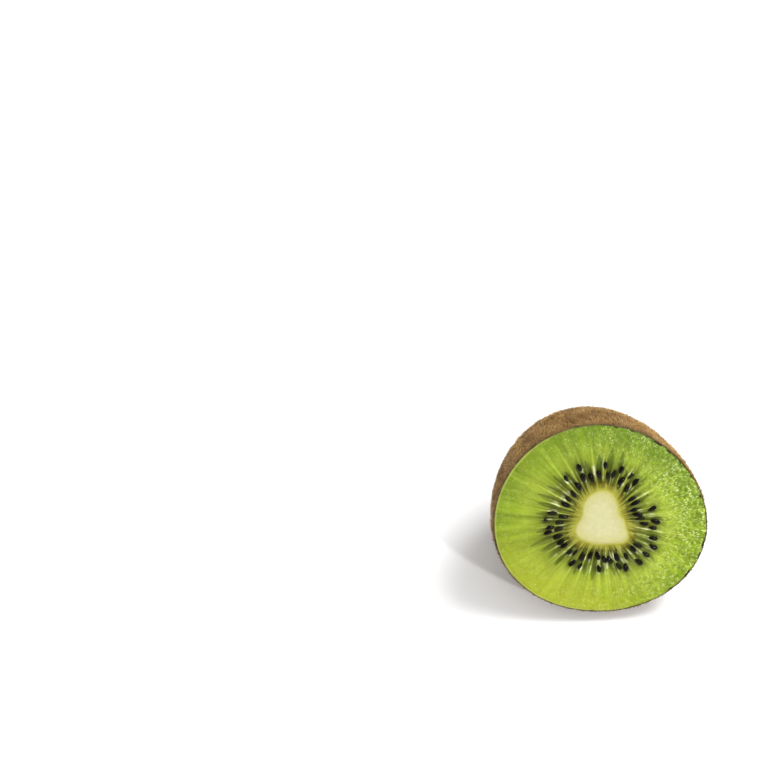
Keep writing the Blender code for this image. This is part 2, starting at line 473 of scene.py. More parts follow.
# %% [markdown]
# The skin is a thin leathery shell, a dull brown ground under the fuzz. Blender's Solidify modifier could
# thicken one sheet into a shell, but here the inside has to draw back behind the flesh and the cut lip has
# to be ragged. So the inside and the outside are two runs of rings of one body. The outside has shallow
# dents and pits, and it is pressed flat where the fruit lies.

# %% Make the skin
SKIN_SPOKES = 360
SKIN_RINGS = 150
INNER_RINGS = 40
SKIN_INSET = 0.06 * MM
RIM_FADE = math.radians(8.0)
EDGE_FADE = math.radians(1.1)
INSIDE_FLOOR = 0.15 * MM

skin_angle = full_turn(SKIN_SPOKES)
outer_dips = np.linspace(0.0, QUARTER_TURN * 0.998, SKIN_RINGS)
inner_dips = np.linspace(QUARTER_TURN * 0.99, 0.0, INNER_RINGS)
smooth_outer = np.array([body_point(skin_angle, dip, SKIN_INSET) for dip in outer_dips])
pits = bumps(smooth_outer, (0.14, 6.0, 40.0), (0.07, 1.6, 50.0), (0.05, 0.7, 60.0))
pits *= np.clip(outer_dips / RIM_FADE, 0.2, 1.0)[:, None]
outer = np.array([body_point(skin_angle, dip, SKIN_INSET - dent) for dip, dent in zip(outer_dips, pits)])
inner_insets = SKIN_THICKNESS - 0.01 * MM + 0.8 * UNDER_SKIN * np.minimum(1.0, inner_dips / RIM_FADE)
inner = np.array([body_point(skin_angle, dip, inset) for dip, inset in zip(inner_dips, inner_insets)])
lip = bumps(outer[0], (0.12, 2.2, 70.0), (0.08, 0.8, 75.0))
outer[0, :, 2] += lip - 0.08 * MM
inner[-1, :, 2] += lip - 0.1 * MM

cut_edge = np.concatenate([np.ones(INNER_RINGS), np.exp(-outer_dips / EDGE_FADE)])
cut_edge = np.concatenate([[1.0], np.repeat(cut_edge, SKIN_SPOKES), [0.0]])
skin_floor = np.where(np.arange(len(cut_edge)) > INNER_RINGS * SKIN_SPOKES, 0.0, INSIDE_FLOOR)
skin = ring_body("skin", far_end(SKIN_THICKNESS + 0.7 * UNDER_SKIN), np.concatenate([inner, outer]),
                 far_end(SKIN_INSET), {"cut_edge": cut_edge}, skin_floor)

# %% [markdown]
# At the far end sits the stalk scar, a dry corky ring with a rough button inside it, in a shallow dimple. A
# torus and a squashed ball would be quick, but they would look turned on a lathe. So the scar is one low
# disc whose height follows a profile, with waves that take it out of round and folds like spokes.

# %% Draw the profile of the scar
# The ring, a finer ring inside it and the button: height, radius and half width in mm, and squareness.
SCAR_PROFILE = ((0.75, 2.7, 0.45, 2), (0.35, 1.7, 0.2, 2), (0.85, 0.0, 1.0, 4))


def scar_height(radius, angle):
    """Height of the scar over the skin: its profile, folds like spokes, and an edge that dives under."""
    radius = radius * (1.0 + 0.07 * np.sin(2.0 * angle + 1.0) + 0.05 * np.sin(5.0 * angle))
    profile = sum(height * np.exp(-(((radius - at * MM) / (width * MM)) ** power))
                  for height, at, width, power in SCAR_PROFILE)
    folds = 0.12 * np.sin(17.0 * angle + 3.0 * np.sin(3.0 * angle)) * np.clip(radius / MM, 0.0, 1.0)
    edge = -0.55 * np.clip((radius / MM - 3.2) / 0.8, 0.0, 1.0)
    return (profile + folds + edge + 0.05) * MM


print("Top of the ring over the skin in mm:", round(float(scar_height(2.7 * MM, 0.0)) / MM, 2))

# %% [markdown]
# The disc is swept in rings from its middle to its edge, and small cork bumps roughen it. Sculpting would
# give finer cracks, but at 8 mm across these bumps are all that shows. Its back is sunk in the fruit, so it
# is one closed body. Its height is kept as a tag, for a painted highlight where the cork stands up and
# painted shade where it lies low.

# %% Make the stalk scar
SCAR_SPOKES = 96
SCAR_RADIUS = 4.0 * MM
SCAR_BACK = 0.8 * MM

scar_angle = full_turn(SCAR_SPOKES)
scar_rows, scar_rise = [], []
for level in np.linspace(0.04, 1.0, 34):
    radius = np.full(SCAR_SPOKES, SCAR_RADIUS * level)
    height = scar_height(radius, scar_angle)
    # The round end of the fruit falls away from the middle of the scar.
    fall = (radius / FACE_SHORT * 2.0) ** 2 / 2.0
    z = dimple(radius) - HALF_LENGTH * (1.0 - fall) - height
    row = np.stack([radius * np.cos(-scar_angle), radius * np.sin(-scar_angle), z], axis=-1)
    cork_bumps = bumps(row, (0.2, 0.5, 80.0))
    row[:, 2] += cork_bumps
    scar_rows.append(row)
    scar_rise.append(np.clip((height - cork_bumps) / (0.9 * MM), 0.0, 1.0))
scar_back = scar_rows[-1] * (0.9, 0.9, 1.0) + (0.0, 0.0, SCAR_BACK)
scar_tip = np.array((0.0, 0.0, scar_rows[0][:, 2].mean() - 0.02 * MM))
scar_rise = np.concatenate([[0.8]] + scar_rise + [np.zeros(SCAR_SPOKES), [0.0]])
scar = ring_body("stalk_scar", scar_tip, np.array(scar_rows + [scar_back]),
                 np.array((0.0, 0.0, scar_back[0, 2])), {"rise": scar_rise})

# %% [markdown]
# Kiwi seeds are small flat drops, glossy black with a hint of purple, and their points look at the core. A
# squashed ball would do from far away, but the drop shape shows in the cut. So a seed is swept from rings
# too, and each ring is as wide as the drop is at its station along the length.

# %% Shape one seed
SEED_LENGTH = 2.4 * MM
SEED_WIDTH = 1.35 * MM
SEED_HEIGHT = 0.95 * MM
SEED_COLUMNS = 14
SEED_STATIONS = np.cos(np.linspace(0.0, math.pi, 13))[1:-1]


def seed_points(size):
    """Points of one seed: the blunt end at +X, rings along its length, and the pointed end at -X."""
    turn = full_turn(SEED_COLUMNS)
    tip = np.array([[SEED_LENGTH / 2 * size, 0.0, 0.0]])
    rings = []
    for station in SEED_STATIONS:
        girth = math.sqrt(1.0 - station**2) * (0.86 + 0.2 * station - 0.06 * station**2)
        x = np.full(SEED_COLUMNS, station * SEED_LENGTH / 2)
        y = girth * np.cos(turn) * SEED_WIDTH / 2
        z = girth * np.sin(turn) * SEED_HEIGHT / 2
        rings.append(np.stack([x, y, z], axis=-1) * size)
    return np.concatenate([tip, *rings, -tip])


print("Points in one seed:", len(seed_points(1.0)))

# %% [markdown]
# In a real cut some seeds lie on top and some deep in the jelly, and each is rolled and tipped a little. One
# seed could be copied 56 times, but equal seeds would show it. So each gets its own size, roll, pitch and
# depth from a seeded draw, and its depth is kept as a tag for the colour.

# %% Set the seeds in the jelly
SEED_ROLL = 0.35
SEED_PITCH = 0.14

seed_draw = random.Random(23)
seed_blocks, seed_faces, seed_depths = [], [], []
one_seed = ring_faces(len(SEED_STATIONS), SEED_COLUMNS)
for number, (centre, direction, size) in enumerate(seeds):
    points = seed_points(size)
    depth = seed_draw.random() ** 2
    roll = Matrix.Rotation(seed_draw.uniform(-SEED_ROLL, SEED_ROLL), 3, "X")
    pitch = Matrix.Rotation(seed_draw.uniform(-SEED_PITCH, SEED_PITCH), 3, "Y")
    turned = Matrix.Rotation(direction, 3, "Z") @ pitch @ roll
    seed_faces += [tuple(number * len(points) + corner for corner in face) for face in one_seed]
    seed_blocks.append(points @ np.array(turned).T + (*centre, (0.02 - 0.34 * depth) * MM))
    seed_depths.append(np.full(len(points), depth))
seed_piece = mesh_piece("seeds", to_world(np.concatenate(seed_blocks)), seed_faces,
                        {"buried": np.concatenate(seed_depths)})

# %% [markdown]
# The fuzz is what makes a kiwi a kiwi: short stiff bristles that lie over each other in swirls. Blender has
# a hair system, but real mesh bristles keep their shape in every program. Each is a thin pyramid on the
# skin, and the longer ones have a bend. This step scatters the roots evenly over the skin, and finds which
# way each bristle leans. Close to the cut none leans out over it.

# %% Scatter the roots of the fuzz
SWIRL_SIZE = 7.0 * MM
SMALL_SWIRL_SIZE = 2.2 * MM
SCAR_CLEAR = 3.3 * MM
FLOOR_CLEAR = 0.12 * MM
RIM_ZONE = 1.3 * MM
STRIPS = 400
SMALL_STEP = 1e-3


def fuzz_roots(count, draw):
    """Even random roots on the skin, each with its outward direction and the way that its bristle lies."""
    dips = np.linspace(0.0, QUARTER_TURN, STRIPS)
    line = body_point(np.full(STRIPS, LONG_AXIS_ANGLE + 0.7), dips, 0.0)
    radius = np.hypot(line[:, 0], line[:, 1])
    strip_area = np.hypot(np.gradient(radius), np.gradient(line[:, 2])) * radius
    dip = np.interp(draw.random(count), np.cumsum(strip_area) / strip_area.sum(), dips)
    angle = draw.random(count) * 2.0 * math.pi
    root = body_point(angle, dip, SKIN_INSET)
    around = unit(body_point(angle + SMALL_STEP, dip, SKIN_INSET) - root)
    further = body_point(angle, np.minimum(dip + SMALL_STEP, QUARTER_TURN), SKIN_INSET)
    along = unit(further - root + 1e-9)
    out = unit(np.cross(along, around))
    swirl = 3.2 * rough(root, SWIRL_SIZE, 90.0) + 1.6 * rough(root, SMALL_SWIRL_SIZE, 95.0)
    swirl += draw.normal(0.0, 0.45, count)
    at_rim = 1.0 - np.clip(-root[:, 2] / RIM_ZONE, 0.0, 1.0)
    backward = np.cos(swirl) * np.where(np.cos(swirl) < 0.0, 1.0 - at_rim, 1.0)
    lie = unit(backward[:, None] * along + np.sin(swirl)[:, None] * around)
    keep = (np.hypot(root[:, 0], root[:, 1]) > SCAR_CLEAR) | (root[:, 2] > -0.5 * HALF_LENGTH)
    keep &= to_world(root)[:, 2] > FLOOR_CLEAR
    return root[keep], out[keep], lie[keep]


roots, out_dirs, _ = fuzz_roots(2000, np.random.default_rng(1))
facing_out = (np.sum(roots * out_dirs, axis=1) > 0.0).mean()
print("Share of bristles that point out of the fruit:", round(float(facing_out), 3))

# %% [markdown]
# A real bristle is a fine tapered tube. A round one would cost a dozen triangles or more, and 60,000 of them
# too many, so each has three sides. A short bristle is a plain pyramid of 4 points. A long one has three
# more points at a knee halfway, which lets it bend.

# %% Number the corners of a bristle


def bristle_pattern(bend):
    """Triangles of one bristle, and the height of each of its points from 0 at the root to 1 at the tip."""
    if not bend:
        return [(0, 2, 1), (0, 1, 3), (1, 2, 3), (2, 0, 3)], [0.0] * 3 + [1.0]
    pattern = [(0, 2, 1)]
    for a, b in ((0, 1), (1, 2), (2, 0)):
        pattern += [(a, b, b + 3), (a, b + 3, a + 3), (a + 3, b + 3, 6)]
    return pattern, [0.0] * 3 + [0.5] * 3 + [1.0]


print("Triangles of a straight bristle:", len(bristle_pattern(False)[0]))
print("Triangles of a bent bristle:", len(bristle_pattern(True)[0]))

# %% [markdown]
# Two coats of fuzz go on: a dense coat of fine short bristles, and a thinner coat of long ones that bend
# over and break the outline. One coat of middling bristles would be simpler, but real fuzz is a mix. Every
# bristle gets one number for its tone, from dark brown to pale gold. It is shorter and more upright close
# to the cut, and its tone is darker there as painted shade.

# %% Grow the fuzz
CORNER_TURNS = (0.5, 2.6, 4.7)
ROOT_DEPTH = 0.06 * MM
LOWEST_HAIR = 0.02 * MM


def grow(name, count, seed, length, thickness, lift, bend):
    """One coat of three-sided bristles. With a bend each has a knee halfway, and lies lower beyond it."""
    draw = np.random.default_rng(seed)
    root, out, lie = fuzz_roots(count, draw)
    total = len(root)
    inward = np.clip(-root[:, 2:] / RIM_ZONE, 0.0, 1.0)
    size = draw.uniform(*length, total)[:, None] * MM * (0.55 + 0.45 * inward)
    wide = draw.uniform(*thickness, total)[:, None] * MM / 2
    rise = np.radians(draw.uniform(*lift, total))[:, None] + 0.35 * (1.0 - inward)
    first_way = np.cos(rise) * lie + np.sin(rise) * out
    side = unit(np.cross(first_way, out))
    over = np.cross(side, first_way)
    base = root - ROOT_DEPTH * out
    corners = [np.cos(turn) * side + np.sin(turn) * over for turn in CORNER_TURNS]
    blocks = [base + wide * corner for corner in corners]
    if bend:
        low = np.radians(draw.uniform(*bend, total))[:, None]
        knee = base + 0.5 * size * first_way
        blocks += [knee + 0.8 * wide * corner for corner in corners]
        sway = draw.normal(0.0, 0.35, total)[:, None]
        second_way = np.cos(low) * (np.cos(sway) * lie + np.sin(sway) * side) + np.sin(low) * out
        blocks.append(knee + 0.5 * size * second_way)
    else:
        blocks.append(base + size * first_way)
    pattern, heights = bristle_pattern(bend)
    each = len(blocks)
    faces = (np.arange(total)[:, None, None] * each + np.array(pattern)).reshape(-1, 3)
    world = to_world(np.stack(blocks, axis=1).reshape(-1, 3))
    world[:, 2] = np.maximum(world[:, 2], LOWEST_HAIR)
    patch = 0.5 + 0.5 * rough(root, 5.0 * MM, 120.0)
    # Close to the cut the tone is darkened: painted shade.
    tone = np.clip(0.55 * draw.random(total) + 0.45 * patch, 0.0, 1.0) * (0.4 + 0.6 * inward[:, 0])
    tags = {"tone": np.repeat(tone, each), "up_bristle": np.tile(heights, total)}
    return mesh_piece(name, world, faces.tolist(), tags)


# Length and thickness are in mm, lift and bend in degrees.
fine_fuzz = grow("fine_fuzz", 46000, seed=31, length=(0.55, 1.0), thickness=(0.09, 0.16),
                 lift=(14.0, 42.0), bend=None)
long_fuzz = grow("long_fuzz", 17500, seed=32, length=(0.85, 1.55), thickness=(0.1, 0.19),
                 lift=(28.0, 62.0), bend=(4.0, 34.0))

# %% [markdown]
# Materials next. Colours are picked as the eye sees them, in sRGB hex. Typing linear numbers would save a
# step, but no one can read them as colours, so one function turns each code into the linear numbers that
# Blender's shaders count in.

# %% Turn a hex colour to linear


def colour(code):
    """Linear colour from an sRGB hex code."""
    parts = [int(code[at : at + 2], 16) / 255.0 for at in (1, 3, 5)]
    linear = [part / 12.92 if part <= 0.04045 else ((part + 0.055) / 1.055) ** 2.4 for part in parts]
    return (*linear, 1.0)


print("Middle grey #808080 is linear", round(colour("#808080")[0], 3))

# %% [markdown]
# A material is a tree of nodes. It could be clicked together in the Shader Editor, but in code every link
# can be read. One small function adds a node, sets it and links it. A noise texture counts its marks per
# metre here: a Scale of 250 gives marks 4 mm across.

# %% Helpers for nodes


def connect(tree, node, inputs):
    """Sets sockets, by name or number. A value is put on the socket, and another node's output is linked."""
    for socket, value in inputs.items():
        if isinstance(value, bpy.types.NodeSocket):
            tree.links.new(value, node.inputs[socket])
        else:
            node.inputs[socket].default_value = value


def add(tree, kind, inputs=None, stops=None, **settings):
    """Adds one node with its settings, its inputs and, for a colour ramp, its stops."""
    node = tree.nodes.new(kind)
    for name, value in settings.items():
        setattr(node, name, value)
    if stops:
        ramp = node.color_ramp
        while len(ramp.elements) < len(stops):
            ramp.elements.new(1.0)
        for element, (place, value) in zip(ramp.elements, stops):
            element.position = place
            element.color = colour(value) if isinstance(value, str) else (value, value, value, 1.0)
    connect(tree, node, inputs or {})
    return node


def new_material(name):
    """An empty node material with its shader ready."""
    made = bpy.data.materials.new(name)
    made.use_nodes = True
    return made, made.node_tree, made.node_tree.nodes["Principled BSDF"]


cut_flesh, tree, shader = new_material("wet_cut_kiwi_flesh")
print("Nodes in a new material:", len(tree.nodes))

# %% [markdown]
# Cut kiwi flesh is wet plant tissue, sliced by a knife. It is not the same all round: the ring of seeds sits
# off centre, one side is riper, and light and shade are painted on others. Painted masks could say so. Here
# a dot product of the spoke's direction with a fixed direction does, because it grows smoothly from one side
# to the other.

# %% Cut flesh: read the numbers on the points
tags = {name: add(tree, "ShaderNodeAttribute", attribute_name=name).outputs["Fac"]
        for name in ("outward", "tongue", "ray", "near_seed", "pulp")}
around = add(tree, "ShaderNodeAttribute", attribute_name="around").outputs["Vector"]
where = add(tree, "ShaderNodeTexCoord").outputs["Object"]
SIDES = {"ring_shift_and_side_light": (0.025, -0.01, 0.0), "low_right": (0.5, -0.86, 0.0),
         "low_left": (-0.42, -0.91, 0.0), "right": (1.0, 0.25, 0.0)}
side_value = {}
for name, way in SIDES.items():
    product = add(tree, "ShaderNodeVectorMath", {0: around, 1: way}, operation="DOT_PRODUCT")
    side_value[name] = product.outputs["Value"]
print("Numbers read from the points:", len(tags) + 1)

# %% [markdown]
# From the middle outward the flesh changes in zones: cream core, its darker edge, yellow green threads,
# brown olive jelly, then bright green and a deeper green under the skin. One colour ramp along the spoke
# holds them all, which is easier to tune than a stack of masks. Clouds about 4 mm across wander the zones in
# and out, and the whole ring sits 1 mm further out on the left and 1 mm further in on the right.

# %% Cut flesh: colour zones
clouds = add(tree, "ShaderNodeTexNoise", {"Vector": where, "Scale": 250.0, "Detail": 3.0})
shift = add(tree, "ShaderNodeMath", {0: clouds.outputs["Fac"], 1: 0.04, 2: -0.02},
            operation="MULTIPLY_ADD")
wandered = add(tree, "ShaderNodeMath", {0: tags["outward"], 1: shift.outputs[0]}, operation="ADD")
past_core = add(tree, "ShaderNodeMapRange", {0: tags["outward"], 1: 0.5, 2: 0.62})
zone = add(tree, "ShaderNodeMath",
           {0: side_value["ring_shift_and_side_light"], 1: past_core.outputs[0], 2: wandered.outputs[0]},
           operation="MULTIPLY_ADD")
ZONE_STOPS = [
    (0.25, "#C4C092"), (0.44, "#BDB97E"),  # cream core
    (0.478, "#B5B06A"), (0.5, "#A8A444"),  # edge of the core
    (0.518, "#7F7C24"), (0.555, "#5F5614"),  # yellow green, then brown olive
    (0.64, "#575B12"),  # dark jelly between the seeds
    (0.71, "#768820"), (0.8, "#8FA32E"),  # ends of the chambers, then bright flesh
    (1.0, "#728B1C"),  # deeper green under the skin
]
zones = add(tree, "ShaderNodeValToRGB", {"Fac": zone.outputs[0]}, stops=ZONE_STOPS)
print("Colour zones along a spoke:", len(ZONE_STOPS))

# %% [markdown]
# Fine pale fibres run from the core to the seeds, about 0.3 mm wide. They could be hundreds of thin curves,
# but a noise that is read off a circle gives the same look, has no seam where the circle closes, and costs
# nothing. A circle of radius 25 gives about 85 bright lines. Over them go the jelly tongues, the shade round
# the seeds and the pale rays, each from its own number.

# %% Cut flesh: fibres, jelly and rays
ring = add(tree, "ShaderNodeVectorMath", {0: around, 1: (25.0, 25.0, 3.0)}, operation="MULTIPLY")
fibres = add(tree, "ShaderNodeTexNoise", {"Vector": ring.outputs[0], "Scale": 1.0, "Detail": 1.0})
fibre_lines = add(tree, "ShaderNodeValToRGB", {"Fac": fibres.outputs["Fac"]},
                  stops=[(0.45, 0.0), (0.56, 1.0)])
fibre_zone = add(tree, "ShaderNodeValToRGB", {"Fac": tags["outward"]},
                 stops=[(0.495, 0.0), (0.52, 0.62), (0.6, 0.62), (0.68, 0.3), (0.9, 0.12)])
fibre_share = add(tree, "ShaderNodeMath", {0: fibre_lines.outputs[0], 1: fibre_zone.outputs[0]},
                  operation="MULTIPLY")
with_fibres = add(tree, "ShaderNodeMix",
                  {0: fibre_share.outputs[0], 6: zones.outputs[0], 7: colour("#ACAE4E")},
                  data_type="RGBA")
flesh_colour = with_fibres.outputs[2]
for tag, strength, code in (("tongue", 0.8, "#41520F"), ("near_seed", 0.8, "#191B04"),
                            ("ray", 0.68, "#B3C24C")):
    share = add(tree, "ShaderNodeMath", {0: tags[tag], 1: strength}, operation="MULTIPLY")
    layer = add(tree, "ShaderNodeMix", {0: share.outputs[0], 6: flesh_colour, 7: colour(code)},
                data_type="RGBA")
    flesh_colour = layer.outputs[2]
print("Nodes in the flesh so far:", len(tree.nodes))

# %% [markdown]
# Here and there a wet wall between two seeds catches the light and shines almost white, most often at the
# lower right; this glint is painted on as a pale patch. Real droplets could be added there, but at this size
# a pale patch 2 mm long looks the same. Noise picks the places, the ring of seeds bounds them, and the rays
# shape them.

# %% Cut flesh: painted glints on the walls
# Noise that places the painted highlights on the walls, more of them at the lower right.
glint_noise = add(tree, "ShaderNodeTexNoise", {"Vector": where, "Scale": 520.0, "Detail": 2.0})
more_glints_low_right = add(tree, "ShaderNodeMapRange", {0: side_value["low_right"], 1: 0.4, 2: 1.0, 3: 0.0, 4: 0.07})
glint_here = add(tree, "ShaderNodeMath", {0: glint_noise.outputs["Fac"], 1: more_glints_low_right.outputs[0]}, operation="ADD")
glint_pick = add(tree, "ShaderNodeMapRange", {0: glint_here.outputs[0], 1: 0.52, 2: 0.64})
seed_ring = add(tree, "ShaderNodeValToRGB", {"Fac": tags["outward"]},
                stops=[(0.55, 0.0), (0.6, 1.0), (0.69, 1.0), (0.75, 0.0)])
glint_ring = add(tree, "ShaderNodeMath", {0: glint_pick.outputs[0], 1: seed_ring.outputs[0]},
                operation="MULTIPLY")
glint_share = add(tree, "ShaderNodeMath", {0: glint_ring.outputs[0], 1: tags["ray"]}, operation="MULTIPLY")
# Near-white painted highlight on the wet walls.
with_painted_glints = add(tree, "ShaderNodeMix",
                 {0: glint_share.outputs[0], 6: flesh_colour, 7: colour("#DDE2B4")}, data_type="RGBA")
print("Nodes in the flesh so far:", len(tree.nodes))

# %% [markdown]
# The outer flesh is not one green. Broad streaks run outward, about 60 round the cut, and a painted light
# makes them paler on the right and darker on the left. The lower left is riper and yellower, and the upper
# right greener and darker, partly as painted shade. One noise for all of it would look like marble, so the
# streaks and the painted light multiply the brightness, and the ripeness and the painted shade shift the
# colour.

# %% Cut flesh: streaks, ripeness and painted light and shade
wide_ring = add(tree, "ShaderNodeVectorMath", {0: around, 1: (14.0, 14.0, 2.0)}, operation="MULTIPLY")
streaks = add(tree, "ShaderNodeTexNoise", {"Vector": wide_ring.outputs[0], "Scale": 1.0, "Detail": 3.0})
# The streaks, plus a painted light: brighter on the right, darker on the left.
streaks_and_side_light = add(tree, "ShaderNodeMath",
             {0: side_value["ring_shift_and_side_light"], 1: 2.0, 2: streaks.outputs["Fac"]}, operation="MULTIPLY_ADD")
streak_and_light_tone = add(tree, "ShaderNodeMapRange", {0: streaks_and_side_light.outputs[0], 1: 0.3, 2: 0.7, 3: 0.72, 4: 1.22})
streak_and_light_share = add(tree, "ShaderNodeMix", {0: past_core.outputs[0], 2: 1.0, 3: streak_and_light_tone.outputs[0]})
streaked_and_lit = add(tree, "ShaderNodeVectorMath", {0: with_painted_glints.outputs[2], 3: streak_and_light_share.outputs[0]},
               operation="SCALE")
outer_flesh = add(tree, "ShaderNodeMapRange", {0: tags["outward"], 1: 0.7, 2: 0.95})
flesh_colour = streaked_and_lit.outputs[0]
# How far toward the lower left each shift starts and ends, its strength and its colour.
# Toward the lower left the flesh is riper and yellower; the deeper green toward the upper right is partly
# painted shade.
for begin, end, strength, code in ((0.35, 1.0, 0.7, "#A8AE30"), (-0.2, -1.0, 0.6, "#627F28")):
    ripeness_and_shade = add(tree, "ShaderNodeMapRange",
               {0: side_value["low_left"], 1: begin, 2: end, 3: 0.0, 4: strength})
    share = add(tree, "ShaderNodeMath", {0: ripeness_and_shade.outputs[0], 1: outer_flesh.outputs[0]},
                operation="MULTIPLY")
    layer = add(tree, "ShaderNodeMix", {0: share.outputs[0], 6: flesh_colour, 7: colour(code)},
                data_type="RGBA")
    flesh_colour = layer.outputs[2]
print("Nodes in the flesh so far:", len(tree.nodes))

# %% [markdown]
# Under a lens the flesh is made of pulp cells drawn out toward the skin, and the knife opened some of them,
# most on the right. Their wet glints are painted as pale flecks. Printed dots would look too regular, so two
# sizes of cell, 0.5 by 1 mm and 0.3 by 0.7 mm, are bent by noise and gathered in clumps. A mottle of 1 mm
# lies under them.

# %% Cut flesh: pulp cells with painted glints
mottle = add(tree, "ShaderNodeTexNoise", {"Vector": where, "Scale": 950.0, "Detail": 2.0})
mottle_tone = add(tree, "ShaderNodeMapRange", {0: mottle.outputs["Fac"], 1: 0.35, 2: 0.65, 3: 0.7, 4: 1.2})
grainy = add(tree, "ShaderNodeMath", {0: tags["pulp"], 1: 0.14}, operation="MAXIMUM")
mottle_share = add(tree, "ShaderNodeMix", {0: grainy.outputs[0], 2: 1.0, 3: mottle_tone.outputs[0]})
mottled = add(tree, "ShaderNodeVectorMath", {0: flesh_colour, 3: mottle_share.outputs[0]},
              operation="SCALE")
clumps = add(tree, "ShaderNodeTexNoise", {"Vector": where, "Scale": 420.0, "Detail": 2.0})
clump_pick = add(tree, "ShaderNodeMapRange", {0: clumps.outputs["Fac"], 1: 0.38, 2: 0.62, 3: 0.25, 4: 1.0})
bend = add(tree, "ShaderNodeVectorMath", {0: mottle.outputs["Color"], 1: (1.6, 1.6, 1.6)},
           operation="MULTIPLY")
flesh_colour = mottled.outputs[0]
# Two pale colours of painted highlight for the wet cells.
for cells_round, cells_outward, code in ((46.0, 38.0, "#BFD364"), (66.0, 54.0, "#E6F0A8")):
    cell_ring = add(tree, "ShaderNodeVectorMath",
                    {0: around, 1: (cells_round, cells_round, cells_outward), 2: bend.outputs[0]},
                    operation="MULTIPLY_ADD")
    cells = add(tree, "ShaderNodeTexVoronoi", {"Vector": cell_ring.outputs[0], "Scale": 1.0})
    share = add(tree, "ShaderNodeMapRange", {0: cells.outputs["Distance"], 1: 0.5, 2: 0.15}).outputs[0]
    glinting_cell_pick = add(tree, "ShaderNodeMapRange", {0: cells.outputs["Color"], 1: 0.32, 2: 0.62})
    for limit in (glinting_cell_pick.outputs[0], clump_pick.outputs[0], tags["pulp"]):
        share = add(tree, "ShaderNodeMath", {0: share, 1: limit}, operation="MULTIPLY").outputs[0]
    layer = add(tree, "ShaderNodeMix", {0: share, 6: flesh_colour, 7: colour(code)}, data_type="RGBA")
    flesh_colour = layer.outputs[2]
print("Nodes in the flesh so far:", len(tree.nodes))

# %% [markdown]
# Along the skin runs a line under half a millimetre wide. On the right it is painted shade, almost black in
# broken stretches, and on the left it is a pale painted highlight instead. It could be a thin piece of its
# own, but the flesh already knows how far out each point lies, so two more layers of colour do it.

# %% Cut flesh: painted shade and highlight line at the skin
rim_shade_breaks = add(tree, "ShaderNodeTexNoise", {"Vector": where, "Scale": 300.0, "Detail": 2.0})
rim_shade_pick = add(tree, "ShaderNodeMapRange", {0: rim_shade_breaks.outputs["Fac"], 1: 0.5, 2: 0.6})
rim_line = add(tree, "ShaderNodeMapRange", {0: tags["outward"], 1: 0.985, 2: 0.994})
rim_shade_share = add(tree, "ShaderNodeMath", {0: rim_shade_pick.outputs[0], 1: rim_line.outputs[0]},
                  operation="MULTIPLY")
shaded_side = add(tree, "ShaderNodeMapRange", {0: side_value["right"], 1: -0.4, 2: 0.3})
highlit_side = add(tree, "ShaderNodeMapRange", {0: side_value["right"], 1: 0.1, 2: -0.5, 3: 0.0, 4: 0.5})
# A pale painted highlight on the left, then broken near-black painted shade on the right.
for line, side, code in ((rim_line, highlit_side, "#C2CA6A"), (rim_shade_share, shaded_side, "#24220C")):
    share = add(tree, "ShaderNodeMath", {0: line.outputs[0], 1: side.outputs[0]}, operation="MULTIPLY")
    layer = add(tree, "ShaderNodeMix", {0: share.outputs[0], 6: flesh_colour, 7: colour(code)},
                data_type="RGBA")
    flesh_colour = layer.outputs[2]
print("Nodes in the flesh so far:", len(tree.nodes))

# %% [markdown]
# The last part of the flesh is how it takes the light. Water fills it, IOR 1.33 and a little more with its
# sugar, so light goes in a millimetre or so and comes out green. On top lies a film of juice. A lower
# roughness alone would make it look lacquered, so the flesh stays soft, with a grain of 0.3 mm, and a thin
# clear coat gives the sharp small highlights.

# %% Cut flesh: wet surface
grain = add(tree, "ShaderNodeTexNoise", {"Vector": where, "Scale": 3200.0, "Detail": 3.0})
grain_bump = add(tree, "ShaderNodeBump",
                 {"Height": grain.outputs["Fac"], "Distance": 0.05 * MM, "Strength": 0.6})
wetness = add(tree, "ShaderNodeMapRange", {0: grain.outputs["Fac"], 1: 0.3, 2: 0.7, 3: 0.22, 4: 0.42})
connect(tree, shader, {
    "Base Color": flesh_colour, "Roughness": wetness.outputs[0], "Normal": grain_bump.outputs[0],
    "IOR": 1.36, "Specular IOR Level": 0.06,
    "Subsurface Weight": 0.14, "Subsurface Radius": (0.7, 1.0, 0.3), "Subsurface Scale": 0.8 * MM,
    "Coat Weight": 0.16, "Coat Roughness": 0.05, "Coat IOR": 1.34})
for piece in (core, flesh):
    piece.data.materials.append(cut_flesh)
print("Nodes in the finished flesh:", len(tree.nodes))

# %% [markdown]
# A kiwi seed has a hard polished coat, almost black with a purple brown tint, IOR about 1.5. Where a seed
# lies deep, green jelly covers it and dims it. A real layer of clear jelly would be slow to render, so the
# buried tag mixes some of the jelly's green into the coat.

# %% Seed coat
seed_coat, tree, shader = new_material("polished_seed_coat")
buried = add(tree, "ShaderNodeAttribute", attribute_name="buried")
where = add(tree, "ShaderNodeTexCoord").outputs["Object"]
mottle = add(tree, "ShaderNodeTexNoise", {"Vector": where, "Scale": 1400.0, "Detail": 2.0})
coat_tone = add(tree, "ShaderNodeValToRGB", {"Fac": mottle.outputs["Fac"]},
                stops=[(0.35, "#050303"), (0.7, "#120B07")])
jelly_share = add(tree, "ShaderNodeMath", {0: buried.outputs["Fac"], 1: 0.5}, operation="MULTIPLY")
dimmed = add(tree, "ShaderNodeMix",
             {0: jelly_share.outputs[0], 6: coat_tone.outputs[0], 7: colour("#262B0C")},
             data_type="RGBA")
pitted = add(tree, "ShaderNodeBump",
             {"Height": mottle.outputs["Fac"], "Distance": 0.03 * MM, "Strength": 0.35})
connect(tree, shader, {"Base Color": dimmed.outputs[2], "Normal": pitted.outputs[0],
                       "Roughness": 0.09, "IOR": 1.5, "Specular IOR Level": 0.1})
seed_piece.data.materials.append(seed_coat)
print("Nodes in the seed coat:", len(tree.nodes))
